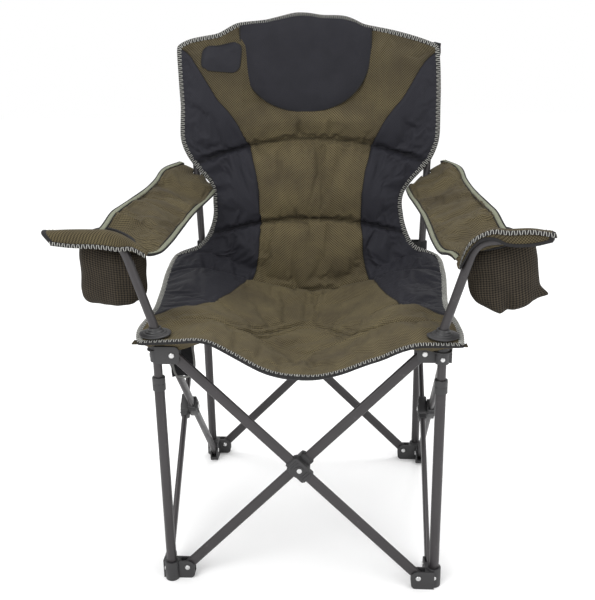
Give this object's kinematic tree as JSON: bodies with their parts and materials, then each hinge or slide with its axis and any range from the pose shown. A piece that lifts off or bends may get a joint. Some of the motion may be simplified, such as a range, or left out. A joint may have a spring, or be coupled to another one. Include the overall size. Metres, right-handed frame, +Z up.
{
  "type": "folding camp chair",
  "caption": "Padded folding camp chair: telescopic posts, scissor cross tubes on every side, sling arms with cup holders, quilted seat and back with a headrest pad.",
  "frame": {"origin": "on the ground under the middle of the open chair's bounding box", "axes": "+Z up, +X to the right of someone who looks at the chair from the front, the sitter faces -Y"},
  "size_m": [0.851, 0.6148, 1.047],
  "materials": {
    "frame_paint": "satin dark grey powder coat",
    "black_plastic": "fine-grained moulded nylon",
    "rivet_zinc": "zinc-plated rivets",
    "olive_mesh": "olive-brown textured polyester mesh",
    "black_polyester": "quilted black polyester"
  },
  "bodies": {
    "leg_front_left": {"foot_front_left": "black_plastic", "leg_tube_front_left": "frame_paint", "leg_collar_front_left": "black_plastic", "front_foot_rivet_left": "rivet_zinc", "left_foot_rivet_right": "rivet_zinc"},
    "leg_front_right": {"foot_front_right": "black_plastic", "leg_tube_front_right": "frame_paint", "leg_collar_front_right": "black_plastic", "front_foot_rivet_right": "rivet_zinc", "right_foot_rivet_left": "rivet_zinc"},
    "leg_rear_right": {"foot_rear_right": "black_plastic", "leg_tube_rear_right": "frame_paint", "leg_collar_rear_right": "black_plastic", "right_foot_rivet_right": "rivet_zinc", "rear_foot_rivet_left": "rivet_zinc"},
    "leg_rear_left": {"foot_rear_left": "black_plastic", "leg_tube_rear_left": "frame_paint", "leg_collar_rear_left": "black_plastic", "rear_foot_rivet_right": "rivet_zinc", "left_foot_rivet_left": "rivet_zinc"},
    "front_cross_inner": {"front_cross_tube_inner": "frame_paint", "front_hub_clamp_inner": "black_plastic", "front_hub_rivet": "rivet_zinc"},
    "front_cross_outer": {"front_cross_tube_outer": "frame_paint", "front_hub_clamp_outer": "black_plastic"},
    "left_cross_inner": {"left_cross_tube_inner": "frame_paint", "left_hub_clamp_inner": "black_plastic", "left_hub_rivet": "rivet_zinc"},
    "left_cross_outer": {"left_cross_tube_outer": "frame_paint", "left_hub_clamp_outer": "black_plastic"},
    "right_cross_inner": {"right_cross_tube_inner": "frame_paint", "right_hub_clamp_inner": "black_plastic", "right_hub_rivet": "rivet_zinc"},
    "right_cross_outer": {"right_cross_tube_outer": "frame_paint", "right_hub_clamp_outer": "black_plastic"},
    "rear_cross_inner": {"rear_cross_tube_inner": "frame_paint", "rear_hub_clamp_inner": "black_plastic", "rear_hub_rivet": "rivet_zinc"},
    "rear_cross_outer": {"rear_cross_tube_outer": "frame_paint", "rear_hub_clamp_outer": "black_plastic"},
    "post_front_left": {"arm_post_left": "frame_paint", "corner_bracket_front_left": "black_plastic", "seat_disc_left": "black_plastic", "arm_sling_left": "olive_mesh", "cup_holder_left": "olive_mesh", "corner_pocket": "black_polyester"},
    "post_front_right": {"arm_post_right": "frame_paint", "corner_bracket_front_right": "black_plastic", "seat_disc_right": "black_plastic", "arm_sling_right": "olive_mesh", "cup_holder_right": "olive_mesh"},
    "post_rear_left": {"back_upright_left": "frame_paint", "corner_bracket_rear_left": "black_plastic", "back_panel": "black_polyester", "headrest_pad": "black_polyester"},
    "post_rear_right": {"back_upright_right": "frame_paint", "corner_bracket_rear_right": "black_plastic"},
    "seat_half_left": {"seat_left": "olive_mesh"},
    "seat_half_right": {"seat_right": "olive_mesh"}
  },
  "joints": [
    {"name": "fold", "type": "hinge", "parent": "leg_front_left", "child": "front_cross_inner", "pos_m": [-0.223, -0.26096, 0.024], "axis": [0, -1, 0], "range_deg": [0, 39]},
    {"name": "front_scissor", "type": "hinge", "parent": "front_cross_inner", "child": "front_cross_outer", "pos_m": [0, -0.26946, 0.2495], "axis": [0, 1, 0], "range_deg": [0, 78]},
    {"name": "front_right_foot_pivot", "type": "hinge", "parent": "front_cross_outer", "child": "leg_front_right", "pos_m": [0.223, -0.27796, 0.024], "axis": [0, -1, 0], "range_deg": [0, 39]},
    {"name": "front_right_bracket_pivot", "type": "hinge", "parent": "front_cross_inner", "child": "post_front_right", "pos_m": [0.223, -0.26096, 0.475], "axis": [0, 1, 0], "range_deg": [0, 39], "deforming": ["arm_sling_right"]},
    {"name": "front_left_bracket_pivot", "type": "hinge", "parent": "front_cross_outer", "child": "post_front_left", "pos_m": [-0.223, -0.27796, 0.475], "axis": [0, -1, 0], "range_deg": [0, 39], "deforming": ["arm_sling_left"]},
    {"name": "left_front_foot_pivot", "type": "hinge", "parent": "leg_front_left", "child": "left_cross_outer", "pos_m": [-0.2615, -0.23946, 0.024], "axis": [1, 0, 0], "range_deg": [0, 39]},
    {"name": "left_scissor", "type": "hinge", "parent": "left_cross_outer", "child": "left_cross_inner", "pos_m": [-0.253, -0.01646, 0.2495], "axis": [-1, 0, 0], "range_deg": [0, 78]},
    {"name": "rear_left_foot_pivot", "type": "hinge", "parent": "left_cross_inner", "child": "leg_rear_left", "pos_m": [-0.2445, 0.20654, 0.024], "axis": [1, 0, 0], "range_deg": [0, 39]},
    {"name": "rear_left_bracket_pivot", "type": "hinge", "parent": "left_cross_outer", "child": "post_rear_left", "pos_m": [-0.2615, 0.20654, 0.475], "axis": [-1, 0, 0], "range_deg": [0, 39], "deforming": ["back_panel", "headrest_pad"]},
    {"name": "right_front_foot_pivot", "type": "hinge", "parent": "leg_front_right", "child": "right_cross_inner", "pos_m": [0.2445, -0.23946, 0.024], "axis": [1, 0, 0], "range_deg": [0, 39]},
    {"name": "right_scissor", "type": "hinge", "parent": "right_cross_inner", "child": "right_cross_outer", "pos_m": [0.253, -0.01646, 0.2495], "axis": [-1, 0, 0], "range_deg": [0, 78]},
    {"name": "rear_right_foot_pivot", "type": "hinge", "parent": "right_cross_outer", "child": "leg_rear_right", "pos_m": [0.2615, 0.20654, 0.024], "axis": [1, 0, 0], "range_deg": [0, 39]},
    {"name": "rear_right_bracket_pivot", "type": "hinge", "parent": "right_cross_inner", "child": "post_rear_right", "pos_m": [0.2445, 0.20654, 0.475], "axis": [-1, 0, 0], "range_deg": [0, 39]},
    {"name": "rear_foot_pivot", "type": "hinge", "parent": "leg_rear_left", "child": "rear_cross_outer", "pos_m": [-0.223, 0.24504, 0.024], "axis": [0, -1, 0], "range_deg": [0, 39]},
    {"name": "rear_scissor", "type": "hinge", "parent": "rear_cross_outer", "child": "rear_cross_inner", "pos_m": [0, 0.23654, 0.2495], "axis": [0, 1, 0], "range_deg": [0, 78]},
    {"name": "seat_left_drop", "type": "hinge", "parent": "post_front_left", "child": "seat_half_left", "pos_m": [-0.221, -0.01646, 0.507], "axis": [0, 1, 0], "range_deg": [0, 70.2], "deforming": ["seat_left"]},
    {"name": "seat_right_drop", "type": "hinge", "parent": "post_front_right", "child": "seat_half_right", "pos_m": [0.221, -0.01646, 0.507], "axis": [0, -1, 0], "range_deg": [0, 70.2], "deforming": ["seat_right"]}
  ],
  "couplings": [
    {"joint": "front_scissor", "follows": "fold", "ratio": 2},
    {"joint": "front_right_foot_pivot", "follows": "fold", "ratio": 1},
    {"joint": "front_right_bracket_pivot", "follows": "fold", "ratio": 1},
    {"joint": "front_left_bracket_pivot", "follows": "fold", "ratio": 1},
    {"joint": "left_front_foot_pivot", "follows": "fold", "ratio": 1},
    {"joint": "left_scissor", "follows": "fold", "ratio": 2},
    {"joint": "rear_left_foot_pivot", "follows": "fold", "ratio": 1},
    {"joint": "rear_left_bracket_pivot", "follows": "fold", "ratio": 1},
    {"joint": "right_front_foot_pivot", "follows": "fold", "ratio": 1},
    {"joint": "right_scissor", "follows": "fold", "ratio": 2},
    {"joint": "rear_right_foot_pivot", "follows": "fold", "ratio": 1},
    {"joint": "rear_right_bracket_pivot", "follows": "fold", "ratio": 1},
    {"joint": "rear_foot_pivot", "follows": "fold", "ratio": 1},
    {"joint": "rear_scissor", "follows": "fold", "ratio": 2},
    {"joint": "seat_left_drop", "follows": "fold", "ratio": 1.8},
    {"joint": "seat_right_drop", "follows": "fold", "ratio": 1.8}
  ]
}
